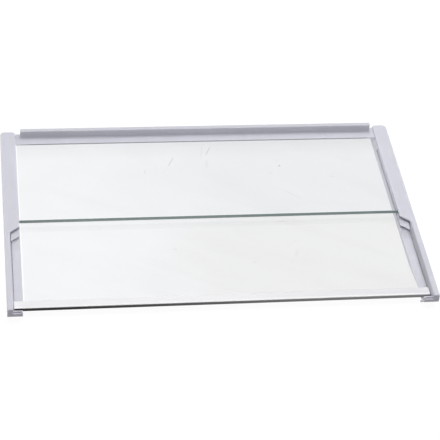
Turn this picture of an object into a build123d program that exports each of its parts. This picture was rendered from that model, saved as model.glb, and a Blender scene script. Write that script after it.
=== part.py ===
"""Divided refrigerator shelf.

Two moulded side rails carry a fixed rear pane, with a raised stop strip along its rear edge, and a lower
front pane, with a trim strip along its front edge, which slides back under the rear one.

Millimetres. X runs across the shelf, Y from its front to its back and Z up. The origin lies on the surface
that the rails stand on, at the middle of the outline.
"""

import os

from build123d import *

# Overall size
shelf_width = 475.0
shelf_depth = 300.0

# Rail section: outer beam, cap over the rear pane, seat of the rear pane and glide ledge of the front pane
rail_wall = 2.0
beam_width = 6.5
cap_width = 17.5
cap_thickness = 1.8
seat_thickness = 1.6
ledge_thickness = 2.0
ledge_height = 7.7
rib_thickness = 1.5
rib_pitch = 36.0

# Rail plan: the cap narrows to the beam at the step, and the glide channel ends at a stop near the back
step_setback = 122.9
step_length = 9.5
channel_stop_setback = 38.0
lip_start = 30.0
lip_ramp = 40.0

# Apron of the rear pane's seat: it stops the pane under the cap and falls to a tip over the front pane
apron_gap = 3.4
apron_lead = 7.5
apron_tip = 0.6

# Front end of a rail: an upright face that turns back underneath
nose_height = 10.5
nose_wall = 3.0
front_rake = 10.4

# Stop in front of the front pane: a block with a tread, and a ridge behind the tread
stop_inset = 1.0
stop_taper = 34.0
stop_thickness = 5.0
stop_height = 6.8
tread_depth = 1.8
ridge_thickness = 1.2
ridge_height = 2.1

# Panes
glass_thickness = 4.0
arris = 0.4
front_pane_setback = 10.1
pane_overlap = 6.0
rear_pane_lead = 10.6

# Trim strip on the front pane
trim_depth = 11.2
trim_thickness = 0.8
trim_round = 0.5

# Rear stop strip
strip_skin = 1.2
strip_web = 1.7
strip_reach = 19.4
strip_grip = 12.0
upright_height = 10.9
upright_depth = 5.4
upright_setback = 3.2
upright_end_inset = 5.7
upright_wall = 1.7
upright_corner = 1.0
upright_rib_pitch = 42.0
cove_radius = 2.6

# Clearances
glide_gap = 0.2
trim_gap = 0.7
apron_side_gap = 0.8
apron_under_gap = 0.4
slot_gap = 0.2
pane_side_gap = 1.0
pane_end_gap = 0.4
clip_gap = 0.1
strip_end_gap = 0.4
strip_rear_gap = 2.2

# Roundings
rear_corner = 5.0
rear_inner_corner = 3.5
cap_corner = 2.0
edge_round = 1.4
strip_round = 0.6

# Places along X, from the middle of the shelf to the outer face of a rail
x_outer = shelf_width / 2
x_beam = x_outer - beam_width
x_cap = x_outer - cap_width
x_stop = x_cap + stop_inset
x_apron = x_beam - apron_side_gap
pane_half_width = x_beam - pane_side_gap
strip_half_width = x_cap - strip_end_gap
upright_half_width = strip_half_width - upright_end_inset

# Places along Y, from the front tips of the rails to their back ends
y_front = -shelf_depth / 2
y_back = shelf_depth / 2
y_step = y_front + step_setback
y_cap_front = y_step + step_length
y_channel_stop = y_back - channel_stop_setback
y_front_pane = y_front + front_pane_setback
y_rear_pane = y_cap_front + rear_pane_lead
y_front_pane_back = y_rear_pane + pane_overlap
y_strip_back = y_back - strip_rear_gap - rail_wall
y_rear_pane_back = y_strip_back - strip_web - clip_gap
y_apron = y_step + step_length * apron_side_gap / (x_beam - x_cap) - apron_lead
y_ridge = y_front + tread_depth
y_upright_back = y_strip_back - upright_setback
y_upright_front = y_upright_back - upright_depth

# Heights, stacked up from the surface
z_ledge_under = ledge_height - ledge_thickness
z_tread = ledge_height + stop_height
z_ridge = z_tread + ridge_height
z_front_pane = ledge_height + glide_gap
z_front_pane_top = z_front_pane + glass_thickness
z_trim_top = z_front_pane_top + trim_thickness
z_seat_under = z_trim_top + trim_gap
z_seat = z_seat_under + seat_thickness
z_rear_pane_top = z_seat + glass_thickness
z_cap_under = z_rear_pane_top + slot_gap
rail_height = z_cap_under + cap_thickness
z_strip_seat = z_rear_pane_top + clip_gap
z_strip_flange = z_strip_seat + strip_skin
z_nose = rail_height - nose_height
z_apron = z_cap_under - apron_gap
z_apron_under = z_front_pane_top + apron_under_gap
apron_fall = z_apron - z_apron_under - apron_tip

# Under their upright faces the front ends of the rails run back along this plane, down to the surface
rake_plane = Plane(origin=(0, y_front, z_nose), x_dir=(1, 0, 0), z_dir=(0, z_nose, front_rake))

# The top of the apron falls along this plane, from under the cap's slanting edge
apron_plane = Plane(
    origin=(x_cap, y_cap_front, z_apron),
    x_dir=(x_cap - x_beam, step_length, 0),
    z_dir=(-apron_fall * step_length, -apron_fall * (x_beam - x_cap), apron_lead * (x_beam - x_cap)),
)


def rake_y(height):
    """Y of the raked underside of the front end at a height above the surface."""
    return y_front + front_rake * (1 - height / z_nose)


# Plan of the cap, which the rear pane's seat follows
with BuildSketch() as cap_plan:
    with BuildLine():
        Polyline(
            (x_beam, y_front),
            (x_beam, y_step),
            (x_cap, y_cap_front),
            (x_cap, y_back),
            (x_outer, y_back),
            (x_outer, y_front),
            close=True,
        )
    make_face()
    step_corners = cap_plan.vertices().group_by(Axis.Y)[1] + cap_plan.vertices().group_by(Axis.Y)[2]
    fillet(step_corners, cap_corner)
    fillet(cap_plan.vertices().group_by(Axis.Y)[-1].sort_by(Axis.X)[-1], rear_corner)
    fillet(cap_plan.vertices().group_by(Axis.Y)[-1].sort_by(Axis.X)[0], rear_inner_corner)

# Plan of the beam under the cap
with BuildSketch() as beam_plan:
    with Locations((x_beam, y_front)):
        Rectangle(beam_width, shelf_depth, align=(Align.MIN, Align.MIN))
    fillet(beam_plan.vertices().group_by(Axis.Y)[-1].sort_by(Axis.X)[-1], rear_corner)

with BuildPart() as apron:
    with BuildSketch(Plane.XY.offset(z_apron_under)):
        with BuildLine():
            Polyline(
                (x_apron, y_apron),
                (x_cap, y_cap_front - apron_lead),
                (x_cap, y_rear_pane - pane_end_gap),
                (x_apron, y_rear_pane - pane_end_gap),
                close=True,
            )
        make_face()
    extrude(amount=z_apron - z_apron_under)
    split(bisect_by=apron_plane, keep=Keep.BOTTOM)

with BuildPart() as right_rail:
    # Beam and cap, with the top edges rounded over
    with BuildSketch(Plane.XY):
        add(beam_plan.sketch)
    extrude(amount=z_cap_under)
    with BuildSketch(Plane.XY.offset(z_cap_under)):
        add(cap_plan.sketch)
    extrude(amount=cap_thickness)
    top_round = min(edge_round, 0.8 * cap_thickness, 0.8 * cap_corner)
    fillet(right_rail.faces().sort_by(Axis.Z)[-1].edges(), top_round)

    # Seat of the rear pane, with the apron in front of the pane and a wall behind it
    with BuildSketch(Plane.XY.offset(z_seat_under)):
        add(cap_plan.sketch)
        with Locations((x_cap, y_cap_front)):
            Rectangle(cap_width, y_back - y_cap_front, align=(Align.MIN, Align.MIN), mode=Mode.INTERSECT)
    extrude(amount=seat_thickness)
    add(apron.part)
    with BuildSketch(Plane.XY.offset(z_seat)):
        add(cap_plan.sketch)
        with Locations((x_cap, y_back - rail_wall)):
            Rectangle(x_beam - x_cap, rail_wall, align=(Align.MIN, Align.MIN), mode=Mode.INTERSECT)
    extrude(amount=z_cap_under - z_seat)

    # Glide ledge, narrowing a little towards the stop at its front
    with BuildSketch(Plane.XY.offset(z_ledge_under)):
        with BuildLine():
            Polyline(
                (x_beam, y_front),
                (x_stop, y_front),
                (x_cap, y_front + stop_taper),
                (x_cap, y_back),
                (x_beam, y_back),
                close=True,
            )
        make_face()
    extrude(amount=ledge_thickness)

    # Lip along the inner edge of the ledge, deeper behind its ramp
    with BuildSketch(Plane.YZ.offset(x_cap)):
        with BuildLine():
            Polyline(
                (y_front + lip_start, z_ledge_under),
                (y_front + lip_start + lip_ramp, 0),
                (y_back, 0),
                (y_back, z_ledge_under),
                close=True,
            )
        make_face()
    extrude(amount=rail_wall)

    # Raked wall under the front end of the ledge
    with BuildSketch(Plane.YZ.offset(x_stop)):
        with BuildLine():
            Polyline(
                (rake_y(0), 0),
                (rake_y(ledge_height), ledge_height),
                (rake_y(ledge_height) + nose_wall, ledge_height),
                (rake_y(0) + nose_wall, 0),
                close=True,
            )
        make_face()
    extrude(amount=x_beam - x_stop)

    # Stop block at the front of the ledge, and its ridge, turned forward at the inner end
    with BuildSketch(Plane.XY.offset(z_ledge_under)):
        with Locations((x_stop, y_front)):
            Rectangle(x_beam - x_stop, stop_thickness, align=(Align.MIN, Align.MIN))
    extrude(amount=z_tread - z_ledge_under)
    with BuildSketch(Plane.XY.offset(z_tread)):
        with Locations((x_stop, y_ridge)):
            Rectangle(x_beam - x_stop, ridge_thickness, align=(Align.MIN, Align.MIN))
            Rectangle(ridge_thickness, tread_depth, align=(Align.MIN, Align.MAX))
    extrude(amount=ridge_height)

    # Stop at the back of the glide channel, and the web that closes the channel's side behind it
    with BuildSketch(Plane.XY.offset(ledge_height)):
        with Locations((x_cap, y_channel_stop)):
            Rectangle(x_beam - x_cap, rail_wall, align=(Align.MIN, Align.MIN))
            Rectangle(rail_wall, channel_stop_setback - cap_corner, align=(Align.MIN, Align.MIN))
    extrude(amount=z_seat_under - ledge_height)

    # Beam cored from below, with cross ribs left standing
    with BuildSketch(Plane.YZ.offset(x_beam + rail_wall)):
        with BuildLine():
            Polyline(
                (rake_y(0) + nose_wall, 0),
                (y_front + nose_wall, z_nose),
                (y_front + nose_wall, z_cap_under),
                (y_back - rail_wall, z_cap_under),
                (y_back - rail_wall, 0),
                close=True,
            )
        make_face()
    extrude(amount=beam_width - 2 * rail_wall, mode=Mode.SUBTRACT)
    rib_count = int((shelf_depth - front_rake) / rib_pitch) - 1
    with BuildSketch(Plane.XY):
        with Locations((x_outer - beam_width / 2, 0)):
            with GridLocations(1, rib_pitch, 1, rib_count):
                Rectangle(beam_width - rail_wall, rib_thickness)
    extrude(amount=z_cap_under)

    # The underside of the front end, cut along the rake
    split(bisect_by=rake_plane, keep=Keep.TOP)

with BuildPart() as left_rail:
    mirror(right_rail.part, about=Plane.YZ)

with BuildPart() as rear_glass:
    with BuildSketch(Plane.XY.offset(z_seat)):
        with Locations((0, y_rear_pane)):
            Rectangle(2 * pane_half_width, y_rear_pane_back - y_rear_pane, align=(Align.CENTER, Align.MIN))
    extrude(amount=glass_thickness)
    chamfer(rear_glass.faces().filter_by(Axis.Z).edges(), arris)

with BuildPart() as front_glass:
    with BuildSketch(Plane.XY.offset(z_front_pane)):
        with Locations((0, y_front_pane)):
            Rectangle(2 * pane_half_width, y_front_pane_back - y_front_pane, align=(Align.CENTER, Align.MIN))
    extrude(amount=glass_thickness)
    chamfer(front_glass.faces().filter_by(Axis.Z).edges(), arris)

with BuildPart() as front_trim:
    with BuildSketch(Plane.XY.offset(z_front_pane_top)):
        with Locations((0, y_front_pane)):
            Rectangle(2 * pane_half_width, trim_depth, align=(Align.CENTER, Align.MIN))
    extrude(amount=trim_thickness)
    fillet(front_trim.faces().sort_by(Axis.Z)[-1].edges(), min(trim_round, 0.8 * trim_thickness))

with BuildPart() as rear_stop_strip:
    # Channel that grips the rear edge of the pane
    grip_floor = z_seat - clip_gap
    with BuildSketch(Plane.YZ.offset(-strip_half_width)):
        with BuildLine():
            Polyline(
                (y_strip_back - strip_reach, z_strip_flange),
                (y_strip_back, z_strip_flange),
                (y_strip_back, grip_floor - strip_skin),
                (y_strip_back - strip_grip, grip_floor - strip_skin),
                (y_strip_back - strip_grip, grip_floor),
                (y_strip_back - strip_web, grip_floor),
                (y_strip_back - strip_web, z_strip_seat),
                (y_strip_back - strip_reach, z_strip_seat),
                close=True,
            )
        make_face()
    extrude(amount=2 * strip_half_width)

    # Upright wall, with a cove round its foot and its top edges rounded
    upright_middle = (y_upright_front + y_upright_back) / 2
    with BuildSketch(Plane.XY.offset(z_strip_flange)):
        with Locations((0, upright_middle)):
            RectangleRounded(2 * upright_half_width, upright_depth, upright_corner)
    extrude(amount=upright_height)
    fillet(rear_stop_strip.faces().sort_by(Axis.Z)[-1].edges(), min(strip_round, 0.8 * upright_corner))
    foot_edges = (
        rear_stop_strip.edges()
        .filter_by_position(Axis.Z, z_strip_flange, z_strip_flange)
        .filter_by_position(Axis.Y, y_upright_front, y_upright_back)
        .filter_by_position(Axis.X, -upright_half_width, upright_half_width)
    )
    fillet(foot_edges, min(cove_radius, 0.9 * upright_setback))

    # Pockets in the back of the upright, with ribs between them
    pocket_count = int(2 * upright_half_width / upright_rib_pitch)
    pocket_height = upright_height - cove_radius - 2 * upright_wall
    pocket_middle = z_strip_flange + cove_radius + upright_wall + pocket_height / 2
    with BuildSketch(Plane.XZ.offset(-y_upright_back)):
        with Locations((0, pocket_middle)):
            with GridLocations(upright_rib_pitch, 1, pocket_count, 1):
                Rectangle(upright_rib_pitch - upright_wall, pocket_height)
    extrude(amount=upright_depth - upright_wall, mode=Mode.SUBTRACT)

pieces = {
    "left_rail": left_rail,
    "right_rail": right_rail,
    "rear_glass": rear_glass,
    "rear_stop_strip": rear_stop_strip,
    "front_glass": front_glass,
    "front_trim": front_trim,
}
os.makedirs("parts", exist_ok=True)
for name, piece in pieces.items():
    piece.part.label = name
    export_step(piece.part, f"parts/{name}.step")
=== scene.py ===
"""Studio scene of a divided glass refrigerator shelf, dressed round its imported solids."""

import logging
import math
from dataclasses import dataclass, replace
from enum import Enum

import bpy
import numpy as np
from mathutils import Matrix, Vector


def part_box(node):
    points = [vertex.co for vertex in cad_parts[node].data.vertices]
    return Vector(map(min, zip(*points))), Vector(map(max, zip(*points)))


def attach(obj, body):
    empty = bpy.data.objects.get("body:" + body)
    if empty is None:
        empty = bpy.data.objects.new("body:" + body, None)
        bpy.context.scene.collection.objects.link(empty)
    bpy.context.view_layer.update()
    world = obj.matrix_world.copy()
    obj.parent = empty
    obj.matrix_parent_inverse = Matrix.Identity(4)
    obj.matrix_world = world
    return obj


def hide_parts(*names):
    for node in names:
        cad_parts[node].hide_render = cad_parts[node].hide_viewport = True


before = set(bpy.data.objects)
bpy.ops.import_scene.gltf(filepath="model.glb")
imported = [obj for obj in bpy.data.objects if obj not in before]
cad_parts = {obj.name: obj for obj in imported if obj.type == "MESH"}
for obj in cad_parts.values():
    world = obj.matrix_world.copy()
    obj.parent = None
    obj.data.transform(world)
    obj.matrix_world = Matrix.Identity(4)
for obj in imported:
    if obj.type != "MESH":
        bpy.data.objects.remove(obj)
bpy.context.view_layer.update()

log = logging.getLogger("shelf")

Colour = tuple[float, float, float, float]
Plain = float | tuple[float, ...]
Source = bpy.types.NodeSocket

WHITE: Colour = (1.0, 1.0, 1.0, 1.0)
# Nearly all values of a soft noise lie in this span.
NOISE_SPAN = (0.3, 0.7)
# Streaks are the brighter part of a noise that is drawn out along X.
STREAK_SPAN = (0.42, 0.75)
STREAK_STRETCH = (0.25, 1.0, 1.0)
# A mark fades out between these two distances above and below its height.
MARK_REACH = (0.0008, 0.0012)


class Body(Enum):
    """The moving bodies of the shelf."""

    FRAME = "frame"
    FRONT_PANE = "front_pane"


class Slot(Enum):
    """The record's material slots of the worked-out pieces."""

    GLASS = "pane_glass"
    TRIM = "trim_strip"


class Ray(Enum):
    """The kinds of ray that a material may answer apart."""

    CAMERA = "Is Camera Ray"
    GLOSSY = "Is Glossy Ray"
    TRANSMISSION = "Is Transmission Ray"
    SHADOW = "Is Shadow Ray"
    DIFFUSE = "Is Diffuse Ray"


class Wiring:
    """Adds nodes to one node tree and joins their sockets."""

    # The Mix node has sockets for every kind of data. These are the numbers of its colour sockets.
    MIX_FIRST = 6
    MIX_SECOND = 7
    MIX_RESULT = 2

    def __init__(self, tree: bpy.types.NodeTree) -> None:
        """Keeps the tree that the nodes go into."""
        self.tree = tree

    def feed(self, socket: Source, value: Source | Plain) -> None:
        """Links a source to an input, or sets the input's own value.

        Args:
            socket: the input.
            value: the source, or the value.
        """
        if isinstance(value, bpy.types.NodeSocket):
            self.tree.links.new(value, socket)
        else:
            socket.default_value = value

    def add(
        self,
        kind: str,
        inputs: dict[str | int, Source | Plain] | None = None,
        **settings: object,
    ) -> bpy.types.Node:
        """Adds one node.

        Args:
            kind: the node's type, without its first word.
            inputs: sources or values, by the input's name or number.
            settings: the node's own properties.

        Returns:
            The new node.
        """
        node = self.tree.nodes.new("ShaderNode" + kind)
        for name, value in settings.items():
            setattr(node, name, value)
        for name, value in (inputs or {}).items():
            self.feed(node.inputs[name], value)
        return node

    def group(self, tree: bpy.types.NodeTree, inputs: dict[str, Source | Plain]) -> bpy.types.Node:
        """Places a shared effect.

        Args:
            tree: the effect's node group.
            inputs: sources or values, by the names of the group's inputs.

        Returns:
            The group node.
        """
        node = self.tree.nodes.new("ShaderNodeGroup")
        node.node_tree = tree
        for name, value in inputs.items():
            self.feed(node.inputs[name], value)
        return node

    def math(
        self,
        operation: str,
        first: Source | float,
        second: Source | float = 0.0,
    ) -> Source:
        """Works out one sum.

        Args:
            operation: the sum's name, as the Math node has it.
            first: the first number.
            second: the second number, where the sum has one.

        Returns:
            The result's socket.
        """
        return self.add("Math", {0: first, 1: second}, operation=operation).outputs[0]

    def ramp(
        self,
        value: Source,
        low: Source | float,
        high: float,
        at_low: Source | float = 0.0,
        at_high: float = 1.0,
    ) -> Source:
        """Maps a range of numbers smoothly on another one.

        Args:
            value: the number to map.
            low: where the range starts.
            high: where the range ends.
            at_low: the result at the start.
            at_high: the result at the end.

        Returns:
            The result's socket.
        """
        ends = {"From Min": low, "From Max": high, "To Min": at_low, "To Max": at_high}
        inputs = {"Value": value, **ends}
        return self.add("MapRange", inputs, interpolation_type="SMOOTHSTEP").outputs[0]

    def blend(self, share: Source | float, first: Source | Colour, second: Source | Colour) -> Source:
        """Mixes two colours.

        Args:
            share: how much of the second colour there is.
            first: the colour at a share of 0.
            second: the colour at a share of 1.

        Returns:
            The colour's socket.
        """
        inputs = {"Factor": share, self.MIX_FIRST: first, self.MIX_SECOND: second}
        return self.add("Mix", inputs, data_type="RGBA").outputs[self.MIX_RESULT]

    def place(self) -> Source:
        """Gives the Object coordinates, in metres."""
        return self.add("TexCoord").outputs["Object"]

    def axes(self, vector: Source) -> tuple[Source, Source, Source]:
        """Splits a vector into its numbers along X, Y and Z."""
        across, deep, up = self.add("SeparateXYZ", {0: vector}).outputs
        return across, deep, up

    def noise(
        self,
        vector: Source,
        scale: Source | float,
        detail: float = 2.0,
        distortion: float = 0.0,
    ) -> Source:
        """Gives a soft three-dimensional noise.

        Args:
            vector: the place on the surface.
            scale: how many lumps there are in a metre.
            detail: how many finer layers are added.
            distortion: how far the lumps are drawn out of shape.

        Returns:
            The noise, from 0 to 1.
        """
        inputs = {"Vector": vector, "Scale": scale, "Detail": detail, "Distortion": distortion}
        return self.add("TexNoise", inputs).outputs[0]

    def any_ray(self, rays: tuple[Ray, ...]) -> Source:
        """Gives 1 for the named kinds of ray and 0 for the others.

        Args:
            rays: the kinds of ray.

        Returns:
            The number's socket.
        """
        path = self.add("LightPath")
        found = path.outputs[rays[0].value]
        for ray in rays[1:]:
            found = self.math("MAXIMUM", found, path.outputs[ray.value])
        return found


class SharedEffects:
    """The node groups that more than one finish uses."""

    def __init__(self) -> None:
        """Builds each group once."""
        self.grain = self.build_grain()
        self.mark = self.build_mark()
        self.smear = self.build_smear()

    @staticmethod
    def start(
        name: str,
        inputs: dict[str, str],
        outputs: dict[str, str],
    ) -> tuple[bpy.types.NodeTree, Wiring, bpy.types.NodeOutputs, bpy.types.NodeInputs]:
        """Starts a node group.

        Args:
            name: the group's name.
            inputs: the kind of each input socket, by name.
            outputs: the kind of each output socket, by name.

        Returns:
            The group, its wiring, the sockets that give its inputs and those that take its results.
        """
        tree = bpy.data.node_groups.new(name, "ShaderNodeTree")
        for label, kind in inputs.items():
            tree.interface.new_socket(label, in_out="INPUT", socket_type="NodeSocket" + kind)
        for label, kind in outputs.items():
            tree.interface.new_socket(label, in_out="OUTPUT", socket_type="NodeSocket" + kind)
        entry = tree.nodes.new("NodeGroupInput")
        leave = tree.nodes.new("NodeGroupOutput")
        return tree, Wiring(tree), entry.outputs, leave.inputs

    def build_grain(self) -> bpy.types.NodeTree:
        """Builds the fine grain of a moulded or ground surface, and the broad patches in its colour.

        Returns:
            The node group.
        """
        tree, wiring, given, result = self.start(
            "surface_grain",
            {"Vector": "Vector", "Grain Scale": "Float", "Patch Scale": "Float"},
            {"Height": "Float", "Patch": "Float"},
        )
        fine = wiring.noise(given["Vector"], given["Grain Scale"], detail=1.0)
        broad = wiring.noise(given["Vector"], given["Patch Scale"], detail=3.0)
        wiring.feed(result["Height"], fine)
        wiring.feed(result["Patch"], wiring.ramp(broad, *NOISE_SPAN))
        return tree

    def build_mark(self) -> bpy.types.NodeTree:
        """Builds a long or round mark at one place, such as a scratch, a speck or a seam.

        The mask is the product of three falls, along the mark, across it and through the surface.

        Returns:
            The node group.
        """
        tree, wiring, given, result = self.start(
            "surface_mark",
            {
                "Vector": "Vector",
                "Middle": "Vector",
                "Turn": "Float",
                "Half Length": "Float",
                "Half Width": "Float",
                "Core": "Float",
            },
            {"Mask": "Float"},
        )
        moved = wiring.add(
            "VectorMath",
            {0: given["Vector"], 1: given["Middle"]},
            operation="SUBTRACT",
        )
        turned = wiring.add(
            "VectorRotate",
            {"Vector": moved.outputs[0], "Angle": given["Turn"]},
            rotation_type="Z_AXIS",
            invert=True,
        )
        parts = wiring.axes(turned.outputs[0])
        along, across, through = (wiring.math("ABSOLUTE", part) for part in parts)
        mask = wiring.ramp(through, *MARK_REACH, 1.0, 0.0)
        for distance, reach in ((along, given["Half Length"]), (across, given["Half Width"])):
            share = wiring.math("DIVIDE", distance, reach)
            mask = wiring.math("MULTIPLY", mask, wiring.ramp(share, given["Core"], 1.0, 1.0, 0.0))
        wiring.feed(result["Mask"], mask)
        return tree

    def build_smear(self) -> bpy.types.NodeTree:
        """Builds the faint streaks that wiping leaves, drawn out along the way of the cloth.

        Returns:
            The node group.
        """
        tree, wiring, given, result = self.start(
            "wiped_smear",
            {"Vector": "Vector", "Scale": "Float", "Turn": "Float"},
            {"Mask": "Float"},
        )
        turned = wiring.add(
            "VectorRotate",
            {"Vector": given["Vector"], "Angle": given["Turn"]},
            rotation_type="Z_AXIS",
        )
        drawn = wiring.add(
            "VectorMath",
            {0: turned.outputs[0], 1: STREAK_STRETCH},
            operation="MULTIPLY",
        )
        streaks = wiring.noise(drawn.outputs[0], given["Scale"], detail=4.0, distortion=0.6)
        wiring.feed(result["Mask"], wiring.ramp(streaks, *STREAK_SPAN))
        return tree


def new_material(name: str) -> tuple[bpy.types.Material, Wiring, bpy.types.Node]:
    """Starts an empty material.

    Args:
        name: the material's name.

    Returns:
        The material, its wiring and its output node.
    """
    material = bpy.data.materials.new(name)
    material.use_nodes = True
    material.node_tree.nodes.clear()
    wiring = Wiring(material.node_tree)
    return material, wiring, wiring.add("OutputMaterial")


@dataclass(frozen=True)
class Mark:
    """A scratch, streak or speck, or a patch or line of painted light or shade, between two ends as seen
    from above.
    """

    start: tuple[float, float]
    end: tuple[float, float]
    half_width: float
    strength: float
    core: float = 0.2

    def shape(self) -> tuple[tuple[float, float], float, float]:
        """Works out where the mark lies.

        Returns:
            The middle, the turn about the upright axis and half the length.
        """
        run = np.subtract(self.end, self.start)
        middle = np.add(self.end, self.start) / 2
        length = float(np.hypot(*run))
        return (float(middle[0]), float(middle[1])), math.atan2(run[1], run[0]), length / 2

    def mirrored(self) -> "Mark":
        """Gives the same mark on the other side of the shelf's middle."""
        ends = [(-across, deep) for across, deep in (self.start, self.end)]
        return replace(self, start=ends[0], end=ends[1])


@dataclass(frozen=True)
class WearAndPaintedLightFace:
    """Marks of use, or painted light and shade, of one colour at one height of a piece."""

    marks: tuple[Mark, ...]
    height: float
    colour: Colour

    def lay_wear_and_painted_light(
        self,
        wiring: Wiring,
        effects: SharedEffects,
        place: Source,
        clean: Source,
        start: Source | float = 0.0,
    ) -> Source:
        """Lays the marks over a surface's colour. Where marks cross, the strongest one shows.

        Args:
            wiring: the wiring of the surface's material.
            effects: the shared node groups.
            place: the place on the surface.
            clean: the colour without the marks.
            start: the strength where there is no mark.

        Returns:
            The colour with the marks.
        """
        strength = start
        for mark in self.marks:
            middle, turn, half_length = mark.shape()
            mask = wiring.group(
                effects.mark,
                {
                    "Vector": place,
                    "Middle": (*middle, self.height),
                    "Turn": turn,
                    "Half Length": half_length,
                    "Half Width": mark.half_width,
                    "Core": mark.core,
                },
            ).outputs["Mask"]
            strength = wiring.math("MAXIMUM", strength, wiring.math("MULTIPLY", mask, mark.strength))
        return wiring.blend(strength, clean, self.colour)


@dataclass(frozen=True)
class Grain:
    """A fine grain with broad patches: their scales, the range of roughness and the bump."""

    fine_scale: float
    patch_scale: float
    rough_low: float
    rough_high: float
    bump: float
    depth: float = 0.0001

    def lay(
        self,
        wiring: Wiring,
        effects: SharedEffects,
        place: Source,
    ) -> tuple[Source, Source, Source]:
        """Lays the grain on a surface.

        Args:
            wiring: the wiring of the surface's material.
            effects: the shared node groups.
            place: the place on the surface.

        Returns:
            The mask of the patches, the roughness and the normal.
        """
        grain = wiring.group(
            effects.grain,
            {"Vector": place, "Grain Scale": self.fine_scale, "Patch Scale": self.patch_scale},
        ).outputs
        rough = wiring.ramp(grain["Height"], *NOISE_SPAN, self.rough_low, self.rough_high)
        bump = wiring.add(
            "Bump",
            {"Height": grain["Height"], "Strength": self.bump, "Distance": self.depth},
        )
        return grain["Patch"], rough, bump.outputs[0]


@dataclass(frozen=True)
class MouldedPlastic:
    """Satin pale grey plastic with a cool cast. Its thin walls let some light seep in."""

    name: str = "moulded_plastic"
    colour: Colour = (0.69, 0.69, 0.765, 1.0)
    patch_colour: Colour = (0.67, 0.672, 0.742, 1.0)
    rub_colour: Colour = (0.715, 0.715, 0.785, 1.0)
    seep_share: float = 0.45
    seep_depth: float = 0.003
    seep_radius: tuple[float, float, float] = (1.0, 1.0, 1.0)
    painted_light_marks: tuple[WearAndPaintedLightFace, ...] = ()
    grain: Grain = Grain(2600.0, 22.0, rough_low=0.42, rough_high=0.5, bump=0.25)
    rub_scale: float = 160.0
    rub_share: float = 0.6
    rub_polish: float = 0.08
    ior: float = 1.46

    def make(self, effects: SharedEffects) -> bpy.types.Material:
        """Makes the material.

        Args:
            effects: the shared node groups.

        Returns:
            The material.
        """
        material, wiring, output = new_material(self.name)
        place = wiring.place()
        patch, rough, normal = self.grain.lay(wiring, effects, place)
        rub = wiring.group(
            effects.smear,
            {"Vector": place, "Scale": self.rub_scale, "Turn": math.pi / 2},
        ).outputs["Mask"]
        colour = wiring.blend(patch, self.colour, self.patch_colour)
        colour = wiring.blend(wiring.math("MULTIPLY", rub, self.rub_share), colour, self.rub_colour)
        # Painted light and shade, where the piece has any, go over the colour.
        for face in self.painted_light_marks:
            colour = face.lay_wear_and_painted_light(wiring, effects, place, colour)
        rough = wiring.math("SUBTRACT", rough, wiring.math("MULTIPLY", rub, self.rub_polish))
        surface = wiring.add(
            "BsdfPrincipled",
            {
                "Base Color": colour,
                "Roughness": rough,
                "Normal": normal,
                "IOR": self.ior,
                "Subsurface Weight": self.seep_share,
                "Subsurface Scale": self.seep_depth,
                "Subsurface Radius": self.seep_radius,
            },
        )
        wiring.feed(output.inputs["Surface"], surface.outputs[0])
        return material


@dataclass(frozen=True)
class ClearGlass:
    """Clear float glass with a faint tint, wiped smears and the marks of use.

    The tint is the glass's own faint tint with painted shade of the floor under the shelf. It deepens
    from left to right, and the sides and the front lip are left clear. A set share of bounced light
    passes straight through, and no shadow is cast.
    """

    name: str
    pale: Colour
    deep: Colour
    marks: tuple[Mark, ...]
    bounced: float
    mark_colour: Colour = (0.42, 0.37, 0.3, 1.0)
    clear: Colour = (0.995, 0.995, 0.995, 1.0)
    clear_from: float = 0.218
    clear_fade: float = 0.001
    clear_lip: float = 0.0016
    lip_core: float = 0.7
    tint_and_painted_shade_run: tuple[float, float] = (-0.2, 0.12)
    tint_and_painted_shade_span: tuple[float, float] = (0.3, 1.5)
    cloud_scale: float = 9.0
    smear_scale: float = 26.0
    smear_turn: float = 0.5
    smear_dirt: float = 0.05
    smear_rough: float = 0.04
    ior: float = 1.5
    shine: float = 0.2

    def make(self, effects: SharedEffects, front: float, top: float) -> bpy.types.Material:
        """Makes the material.

        Args:
            effects: the shared node groups.
            front: the place of the pane's front edge on the depth axis.
            top: the height of the face that carries the marks.

        Returns:
            The material.
        """
        material, wiring, output = new_material(self.name)
        place = wiring.place()
        across, deep, _ = wiring.axes(place)
        smear = wiring.group(
            effects.smear,
            {"Vector": place, "Scale": self.smear_scale, "Turn": self.smear_turn},
        ).outputs["Mask"]
        clouds = wiring.noise(place, self.cloud_scale)
        # Painted shade: the tint darkens what is seen through the pane, deeper towards the right, and is
        # left out over the side ledges and along the front lip.
        drift = wiring.math("ADD", wiring.ramp(across, *self.tint_and_painted_shade_run), clouds)
        colour = wiring.blend(wiring.ramp(drift, *self.tint_and_painted_shade_span), self.pale, self.deep)
        from_middle = wiring.math("ABSOLUTE", across)
        at_side = wiring.ramp(from_middle, self.clear_from, self.clear_from + self.clear_fade)
        lip_fade = front + self.lip_core * self.clear_lip
        at_lip = wiring.ramp(deep, lip_fade, front + self.clear_lip, 1.0, 0.0)
        colour = wiring.blend(wiring.math("MAXIMUM", at_side, at_lip), colour, self.clear)
        wiped = wiring.math("MULTIPLY", smear, self.smear_dirt)
        worn = WearAndPaintedLightFace(self.marks, top, self.mark_colour)
        glass = wiring.add(
            "BsdfPrincipled",
            {
                "Base Color": worn.lay_wear_and_painted_light(wiring, effects, place, colour, wiped),
                "Roughness": wiring.math("MULTIPLY", smear, self.smear_rough),
                "IOR": self.ior,
                "Specular IOR Level": self.shine,
                "Transmission Weight": 1.0,
            },
        )
        shown = glass.outputs[0]
        for ray, share in ((Ray.SHADOW, 1.0), (Ray.DIFFUSE, self.bounced)):
            let_by = wiring.add("BsdfTransparent", {"Color": (share, share, share, 1.0)}).outputs[0]
            shown = wiring.add("MixShader", {0: wiring.any_ray((ray,)), 1: shown, 2: let_by}).outputs[0]
        wiring.feed(output.inputs["Surface"], shown)
        return material


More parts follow.
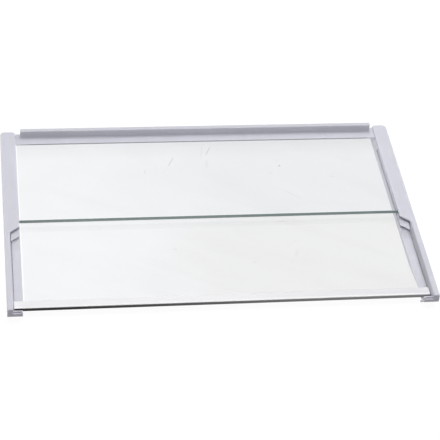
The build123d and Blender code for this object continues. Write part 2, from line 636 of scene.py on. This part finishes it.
@dataclass(frozen=True)
class GroundEdge:
    """The ground edge of a pane along its front and back, blended from a colour at the left end to one
    at the right end. On the rear pane it is the glass's own deep colour; on the front pane it is painted
    shade and reflection.
    """

    name: str
    left: Colour
    right: Colour
    pale: Colour = (0.30, 0.38, 0.36, 1.0)
    pale_share: float = 0.05
    run: tuple[float, float] = (-0.2, 0.17)
    grain: Grain = Grain(1500.0, 60.0, rough_low=0.22, rough_high=0.38, bump=0.2)
    ior: float = 1.5
    shine: float = 0.25

    def make(self, effects: SharedEffects) -> bpy.types.Material:
        """Makes the material.

        Args:
            effects: the shared node groups.

        Returns:
            The material.
        """
        material, wiring, output = new_material(self.name)
        place = wiring.place()
        patch, rough, normal = self.grain.lay(wiring, effects, place)
        across = wiring.axes(place)[0]
        colour = wiring.blend(wiring.ramp(across, *self.run), self.left, self.right)
        colour = wiring.blend(wiring.math("MULTIPLY", patch, self.pale_share), colour, self.pale)
        surface = wiring.add(
            "BsdfPrincipled",
            {
                "Base Color": colour,
                "Roughness": rough,
                "Normal": normal,
                "IOR": self.ior,
                "Specular IOR Level": self.shine,
            },
        )
        wiring.feed(output.inputs["Surface"], surface.outputs[0])
        return material


@dataclass(frozen=True)
class SatinTrim:
    """The pale trim strip: fine drawn lines along it, a painted reflection that darkens from left to
    right, and a painted highlight along the bead at its front.
    """

    name: str = "satin_trim"
    # Painted highlight: the colour of the bead.
    bead: Colour = (0.975, 0.975, 0.98, 1.0)
    # Painted reflection: lighter at the left end, darker at the right end.
    left: Colour = (0.92, 0.92, 0.935, 1.0)
    right: Colour = (0.805, 0.805, 0.838, 1.0)
    run: tuple[float, float] = (-0.05, 0.24)
    bead_width: float = 0.0026
    highlight_core: float = 0.8
    line_stretch: tuple[float, float, float] = (0.02, 1.0, 1.0)
    line_share: float = 0.25
    grain: Grain = Grain(2400.0, 340.0, rough_low=0.26, rough_high=0.36, bump=0.15)
    ior: float = 1.5

    def make(self, effects: SharedEffects, front: float) -> bpy.types.Material:
        """Makes the material.

        Args:
            effects: the shared node groups.
            front: the place of the strip's front edge on the depth axis.

        Returns:
            The material.
        """
        material, wiring, output = new_material(self.name)
        place = wiring.place()
        drawn = wiring.add("Mapping", {"Vector": place, "Scale": self.line_stretch}).outputs[0]
        lines, rough, normal = self.grain.lay(wiring, effects, drawn)
        across, deep, _ = wiring.axes(place)
        # Painted reflection, from the left colour to the right colour.
        colour = wiring.blend(wiring.ramp(across, *self.run), self.left, self.right)
        colour = wiring.blend(wiring.math("MULTIPLY", lines, self.line_share), colour, self.left)
        # Painted highlight along the bead.
        highlight_fade = front + self.highlight_core * self.bead_width
        on_painted_highlight = wiring.ramp(deep, highlight_fade, front + self.bead_width, 1.0, 0.0)
        surface = wiring.add(
            "BsdfPrincipled",
            {
                "Base Color": wiring.blend(on_painted_highlight, colour, self.bead),
                "Roughness": rough,
                "Normal": normal,
                "IOR": self.ior,
            },
        )
        wiring.feed(output.inputs["Surface"], surface.outputs[0])
        return material


def new_piece(name: str, points: np.ndarray, faces: list[list[int]]) -> bpy.types.Object:
    """Puts a worked-out surface into a new object at the origin.

    Args:
        name: the piece's name.
        points: the surface's points, one row each.
        faces: the point numbers of each face.

    Returns:
        The object.
    """
    mesh = bpy.data.meshes.new(name)
    mesh.from_pydata(points.tolist(), [], faces)
    mesh.update()
    piece = bpy.data.objects.new(name, mesh)
    bpy.context.scene.collection.objects.link(piece)
    return piece


def ring_quads(rings: int, steps: int) -> np.ndarray:
    """Numbers the quads between rings of points that each close on themselves.

    Args:
        rings: how many rings there are.
        steps: how many points a ring has.

    Returns:
        One row of four point numbers for each quad.
    """
    ring, step = np.meshgrid(np.arange(rings - 1), np.arange(steps), indexing="ij")
    here = ring * steps + step
    beside = ring * steps + (step + 1) % steps
    return np.stack([here, here + steps, beside + steps, beside], axis=-1).reshape(-1, 4)


@dataclass
class GlassPane:
    """One pane: a flat slab with dubbed corners and a ground, rounded arris."""

    node: str
    body: Body
    face: ClearGlass
    edge: GroundEdge
    arris: float = 0.0004
    corner: float = 0.0012
    corner_steps: int = 6
    arris_steps: int = 4
    side_lean: float = 0.7

    def section(self, thickness: float) -> np.ndarray:
        """Works out the rim's section, as insets and drops.

        The top arris is a quarter circle from the face to the edge, and the bottom one mirrors it.

        Args:
            thickness: the pane's thickness.

        Returns:
            One row of inset and drop for each point, from the top face to the bottom face.
        """
        angle = np.linspace(0.0, math.pi / 2, self.arris_steps + 1)
        inset = self.arris * (1 - np.sin(angle))
        drop = self.arris * (1 - np.cos(angle))
        upper = np.stack([inset, drop], axis=1)
        lower = np.stack([inset, thickness - drop], axis=1)[::-1]
        return np.concatenate([upper, lower])

    def build(self) -> bpy.types.Object:
        """Builds the pane in the place of its solid.

        The outline is four quarter circles about the corners' centres. Each point of the rim's section
        shrinks that circle by its inset and lowers it by its drop. The two faces close the ends. Only
        the rim's front and back have the edge's finish: faces whose normals lean sideways stay clear.

        Returns:
            The pane.
        """
        low, high = (np.array(corner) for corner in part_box(self.node))
        section = self.section(high[2] - low[2])
        quarter = np.linspace(0.0, math.pi / 2, self.corner_steps + 1)
        angle = np.concatenate([quarter + turn * math.pi / 2 for turn in range(4)])
        towards = np.repeat(np.arange(4) * math.pi / 2 + math.pi / 4, self.corner_steps + 1)
        centre_x = np.where(np.cos(towards) > 0, high[0] - self.corner, low[0] + self.corner)
        centre_y = np.where(np.sin(towards) > 0, high[1] - self.corner, low[1] + self.corner)
        radius = self.corner - section[:, :1]
        across = centre_x + radius * np.cos(angle)
        deep = centre_y + radius * np.sin(angle)
        height = np.broadcast_to(high[2] - section[:, 1:], across.shape)
        points = np.stack([across, deep, height], axis=-1).reshape(-1, 3)
        rings, steps = across.shape
        rim = ring_quads(rings, steps).tolist()
        top = np.arange(steps).tolist()
        bottom = ((rings - 1) * steps + np.arange(steps)[::-1]).tolist()
        pane = new_piece(self.node + "_pane", points, [*rim, top, bottom])
        on_rim = np.array([True] * len(rim) + [False, False])
        normals = np.empty(3 * len(on_rim))
        pane.data.polygons.foreach_get("normal", normals)
        sideways = np.abs(normals.reshape(-1, 3)[:, 0]) > self.side_lean
        pane.data.polygons.foreach_set("material_index", (on_rim & ~sideways).astype(int))
        pane.data.polygons.foreach_set("use_smooth", on_rim)
        return pane

    def dress(self, pane: bpy.types.Object, effects: SharedEffects) -> None:
        """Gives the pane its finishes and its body.

        Args:
            pane: the pane.
            effects: the shared node groups.
        """
        low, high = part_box(self.node)
        pane.data.materials.append(self.face.make(effects, low.y, high.z))
        pane.data.materials.append(self.edge.make(effects))
        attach(pane, self.body.value)
        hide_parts(self.node)


@dataclass
class FrontTrim:
    """The trim strip on the front pane: a flat band with a rounded bead along its front."""

    finish: SatinTrim
    node: str = "front_trim"
    nose_radius: float = 0.0004
    bead_width: float = 0.0018
    slope_width: float = 0.0008
    band_drop: float = 0.00012
    rear_radius: float = 0.0005
    arc_steps: int = 6
    stations: int = 25
    sharp_angle: float = 40.0

    def section(self, depth: float, thickness: float) -> np.ndarray:
        """Works out the strip's section, from its front foot over the bead to its rear foot.

        The bead rises as a quarter circle to the full thickness and runs level. A cosine half-wave drops
        from it to the band, and a quarter circle rounds the rear edge.

        Args:
            depth: the strip's depth.
            thickness: the strip's thickness at the bead.

        Returns:
            One row of depth and height for each point.
        """
        angle = np.linspace(0.0, math.pi / 2, self.arc_steps + 1)
        nose = min(self.nose_radius, thickness)
        front = np.stack(
            [nose * (1 - np.cos(angle)), thickness - nose + nose * np.sin(angle)],
            axis=1,
        )
        fall = np.linspace(0.0, 1.0, self.arc_steps + 1)
        band = thickness - self.band_drop
        slope = np.stack(
            [
                self.bead_width + self.slope_width * fall,
                thickness - self.band_drop * (1 - np.cos(math.pi * fall)) / 2,
            ],
            axis=1,
        )
        round_off = self.rear_radius
        rear = np.stack(
            [
                depth - round_off + round_off * np.sin(angle),
                band - round_off + round_off * np.cos(angle),
            ],
            axis=1,
        )
        foot = np.array([[depth, 0.0], [0.0, 0.0]])
        return np.concatenate([front, slope, rear, foot])

    def build(self) -> bpy.types.Object:
        """Builds the strip in the place of its solid: the section carried along the width.

        Returns:
            The strip.
        """
        low, high = (np.array(corner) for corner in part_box(self.node))
        section = self.section(high[1] - low[1], high[2] - low[2])
        stations = np.linspace(low[0], high[0], self.stations)
        across = np.repeat(stations, len(section))
        deep = np.tile(low[1] + section[:, 0], len(stations))
        height = np.tile(low[2] + section[:, 1], len(stations))
        points = np.stack([across, deep, height], axis=1)
        steps = len(section)
        skin = ring_quads(len(stations), steps)[:, ::-1].tolist()
        first = np.arange(steps).tolist()
        last = ((len(stations) - 1) * steps + np.arange(steps)[::-1]).tolist()
        strip = new_piece(self.node + "_strip", points, [*skin, first, last])
        strip.data.polygons.foreach_set("use_smooth", np.array([True] * len(skin) + [False, False]))
        strip.data.set_sharp_from_angle(angle=math.radians(self.sharp_angle))
        return strip

    def dress(self, strip: bpy.types.Object, effects: SharedEffects) -> None:
        """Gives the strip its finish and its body.

        Args:
            strip: the strip.
            effects: the shared node groups.
        """
        strip.data.materials.append(self.finish.make(effects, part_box(self.node)[0].y))
        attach(strip, Body.FRONT_PANE.value)
        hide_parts(self.node)


@dataclass
class MouldedSet:
    """Moulded pieces of one plastic, which keep their solids."""

    finish: MouldedPlastic
    nodes: tuple[str, ...]

    def dress(self, effects: SharedEffects) -> None:
        """Gives each moulded piece the plastic finish.

        Args:
            effects: the shared node groups.
        """
        plastic = self.finish.make(effects)
        for node in self.nodes:
            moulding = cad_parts[node]
            moulding.data.materials.clear()
            moulding.data.materials.append(plastic)
            log.info("%s dressed in %s", node, plastic.name)


@dataclass(frozen=True)
class Lamp:
    """One soft square lamp, turned towards the middle of the shelf."""

    name: str
    place: tuple[float, float, float]
    size: float
    power: float

    def hang(self) -> None:
        """Hangs the lamp in the scene, hidden from mirror rays, so that it washes out no pane."""
        light = bpy.data.lights.new(self.name, "AREA")
        light.shape = "SQUARE"
        light.size = self.size
        light.energy = self.power
        lamp = bpy.data.objects.new(self.name, light)
        lamp.location = self.place
        lamp.visible_glossy = False
        lamp.rotation_euler = Vector(self.place).to_track_quat("Z", "Y").to_euler()
        bpy.context.scene.collection.objects.link(lamp)


@dataclass
class Studio:
    """The floor, the light and the camera. Angles are in degrees, lens and sensor in millimetres."""

    camera_place: tuple[float, float, float] = (-0.258215, -1.347655, 1.235517)
    heading: float = 11.318
    dip: float = 41.834
    roll: float = 6.034
    lens: float = 129.98
    sensor: float = 36.0
    sight: float = 50.0
    floor_half: float = 6.0
    floor_drop: float = 0.0004
    floor_colour: Colour = (0.1, 0.1, 0.1, 1.0)
    floor_lift: float = 0.94
    floor_glow: float = 1.0
    front_glow: float = 0.38
    glow_run: tuple[float, float] = (-0.155, -0.1)
    ambient: float = 0.15
    lamps: tuple[Lamp, ...] = (
        Lamp("overhead_lamp", (0.12, 0.15, 1.7), 1.7, 29.2),
        Lamp("left_lamp", (-1.75, 0.0, 0.45), 0.4, 3.5),
        Lamp("right_lamp", (1.75, 0.0, 0.45), 0.4, 2.5),
    )

    def build_floor(self) -> None:
        """Lays a plain floor, white where it is seen.

        As a light it is dimmer in front of the shelf than under it.
        """
        half = self.floor_half
        corners = np.array([[-half, -half], [half, -half], [half, half], [-half, half]])
        points = np.column_stack([corners, np.full(4, -self.floor_drop)])
        floor = new_piece("studio_floor", points, [[0, 1, 2, 3]])
        material, wiring, output = new_material("studio_floor")
        lit = wiring.add("BsdfDiffuse", {"Color": self.floor_colour})
        shown = wiring.any_ray((Ray.CAMERA, Ray.GLOSSY, Ray.TRANSMISSION))
        deep = wiring.axes(wiring.place())[1]
        glow = wiring.ramp(deep, *self.glow_run, self.front_glow, self.floor_glow)
        strength = wiring.ramp(shown, 0.0, 1.0, glow, self.floor_lift)
        lift = wiring.add("Emission", {"Strength": strength})
        both = wiring.add("AddShader", {0: lit.outputs[0], 1: lift.outputs[0]})
        wiring.feed(output.inputs["Surface"], both.outputs[0])
        floor.data.materials.append(material)

    def build_world(self) -> None:
        """Lights from all round: as white as the far floor where it is seen, and dimmer as a light."""
        world = bpy.data.worlds.new("studio_world")
        world.use_nodes = True
        world.node_tree.nodes.clear()
        wiring = Wiring(world.node_tree)
        shown = wiring.any_ray((Ray.CAMERA, Ray.GLOSSY, Ray.TRANSMISSION))
        strength = wiring.ramp(shown, 0.0, 1.0, self.ambient, self.floor_lift)
        sky = wiring.add("Background", {"Color": WHITE, "Strength": strength})
        output = wiring.add("OutputWorld")
        wiring.feed(output.inputs["Surface"], sky.outputs[0])
        bpy.context.scene.world = world

    def build_camera(self) -> None:
        """Sets the camera by its heading, dip and roll."""
        lens = bpy.data.cameras.new("studio_camera")
        lens.lens = self.lens
        lens.sensor_width = self.sensor
        lens.clip_end = self.sight
        camera = bpy.data.objects.new("studio_camera", lens)
        heading, dip, roll = (math.radians(angle) for angle in (self.heading, self.dip, self.roll))
        turn = (
            Matrix.Rotation(-heading, 4, "Z")
            @ Matrix.Rotation(math.pi / 2 - dip, 4, "X")
            @ Matrix.Rotation(roll, 4, "Z")
        )
        camera.matrix_world = Matrix.Translation(Vector(self.camera_place)) @ turn
        bpy.context.scene.collection.objects.link(camera)
        bpy.context.scene.camera = camera

    def build(self) -> None:
        """Builds the whole studio."""
        self.build_floor()
        self.build_world()
        for lamp in self.lamps:
            lamp.hang()
        self.build_camera()
        bpy.context.scene.view_settings.view_transform = "Standard"


# The marks of use on the top faces of the two panes.
REAR_MARKS = (
    Mark((-0.0325, 0.1004), (-0.0423, 0.0803), 0.0012, 0.50, 0.4),
    Mark((-0.0423, 0.0803), (-0.0492, 0.0682), 0.0010, 0.16),
    Mark((0.0147, 0.1203), (0.0044, 0.0976), 0.0011, 0.44, 0.3),
    Mark((0.0046, 0.1222), (-0.0013, 0.0922), 0.0012, 0.13, 0.5),
    Mark((0.0062, 0.0946), (0.0039, 0.0758), 0.0024, 0.15, 0.3),
    Mark((0.0911, 0.0783), (0.0938, 0.0782), 0.0013, 1.00, 0.6),
    Mark((0.0889, 0.0888), (0.0920, 0.0887), 0.0010, 0.40, 0.4),
    Mark((-0.0694, 0.0776), (-0.0703, 0.0678), 0.0014, 0.24, 0.4),
    Mark((0.0776, 0.0659), (0.0819, 0.0657), 0.0020, 0.20, 0.4),
    Mark((0.1480, 0.0582), (0.1582, 0.0549), 0.0018, 0.13, 0.4),
    Mark((0.0848, 0.0382), (0.1121, 0.0168), 0.0014, 0.12, 0.4),
)
FRONT_MARKS = (
    Mark((-0.0500, -0.0530), (-0.0441, -0.0553), 0.0020, 0.20, 0.4),
    Mark((0.0934, -0.0573), (0.0882, -0.0762), 0.0034, 0.16, 0.2),
    Mark((0.0892, -0.0464), (0.0945, -0.0470), 0.0018, 0.15, 0.4),
    Mark((0.0378, -0.0792), (0.0426, -0.0794), 0.0020, 0.20, 0.4),
    Mark((0.0762, -0.0125), (0.0889, -0.0126), 0.0009, 0.30, 0.4),
)


def rail_plastic() -> MouldedPlastic:
    """Gives the rails' plastic, with painted light on the shaded apron tips and a painted shadow on the
    ledges in front of them.

    Returns:
        The finish.
    """
    tip_height = 0.0125
    # Painted light: the apron tips' front faces, which lie in shade, are coloured paler.
    painted_light_colour = (0.9, 0.9, 0.97, 1.0)
    right_painted_light = Mark((0.2200, -0.0251), (0.2302, -0.0339), half_width=0.0006, strength=1.0, core=0.8)
    glide_gap = 0.0002
    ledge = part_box("front_glass")[0].z - glide_gap
    # Painted shadow: a grey patch on each ledge in front of the step, darker on the right.
    painted_shadow_colour = (0.33, 0.35, 0.4, 1.0)
    right_painted_shadow = Mark((0.2255, -0.0490), (0.2255, -0.0210), half_width=0.0100, strength=0.3, core=0.45)
    left_painted_shadow = replace(right_painted_shadow.mirrored(), strength=0.14)
    return MouldedPlastic(
        painted_light_marks=(
            WearAndPaintedLightFace((right_painted_light.mirrored(), right_painted_light), tip_height, painted_light_colour),
            WearAndPaintedLightFace((left_painted_shadow, right_painted_shadow), ledge, painted_shadow_colour),
        ),
    )


def strip_plastic() -> MouldedPlastic:
    """Gives the stop strip's plastic, with painted shade along the seam where its front lip meets the
    pane.

    Returns:
        The finish.
    """
    low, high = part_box("rear_stop_strip")
    lip_half_height = 0.0006
    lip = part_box("rear_glass")[1].z + lip_half_height
    # Painted shade: a dark line where the front lip meets the pane.
    painted_shade_colour = (0.33, 0.33, 0.355, 1.0)
    seam = Mark((low.x, low.y), (high.x, low.y), half_width=0.0004, strength=1.0, core=0.9)
    return MouldedPlastic(
        name="strip_plastic",
        colour=(0.642, 0.642, 0.706, 1.0),
        patch_colour=(0.624, 0.625, 0.686, 1.0),
        rub_colour=(0.666, 0.666, 0.725, 1.0),
        seep_share=0.35,
        seep_depth=0.002,
        painted_light_marks=(WearAndPaintedLightFace((seam,), lip, painted_shade_colour),),
    )


def main() -> None:
    """Builds the studio and every piece of the shelf, and logs each one."""
    logging.basicConfig(level=logging.INFO, format="%(message)s")
    effects = SharedEffects()
    Studio().build()
    MouldedSet(rail_plastic(), ("left_rail", "right_rail")).dress(effects)
    MouldedSet(strip_plastic(), ("rear_stop_strip",)).dress(effects)
    panes = (
        GlassPane(
            "rear_glass",
            Body.FRAME,
            ClearGlass(
                "rear_glass_face",
                pale=(0.889, 0.894, 0.911, 1.0),
                deep=(0.812, 0.825, 0.842, 1.0),
                marks=REAR_MARKS,
                bounced=1.0,
            ),
            GroundEdge(
                "rear_glass_edge",
                left=(0.395, 0.48, 0.46, 1.0),
                right=(0.345, 0.435, 0.425, 1.0),
            ),
        ),
        GlassPane(
            "front_glass",
            Body.FRONT_PANE,
            ClearGlass(
                "front_glass_face",
                pale=(0.902, 0.911, 0.931, 1.0),
                deep=(0.835, 0.838, 0.842, 1.0),
                marks=FRONT_MARKS,
                bounced=0.85,
            ),
            # Painted shade and reflection: near black at the left end, grey at the right end.
            GroundEdge(
                "front_glass_edge",
                left=(0.012, 0.013, 0.013, 1.0),
                right=(0.4, 0.404, 0.404, 1.0),
            ),
        ),
    )
    for design in panes:
        pane = design.build()
        design.dress(pane, effects)
        log.info("%s built with %d faces", pane.name, len(pane.data.polygons))
    trim = FrontTrim(SatinTrim())
    strip = trim.build()
    trim.dress(strip, effects)
    log.info("%s built with %d faces", strip.name, len(strip.data.polygons))


if __name__ == "__main__":
    main()
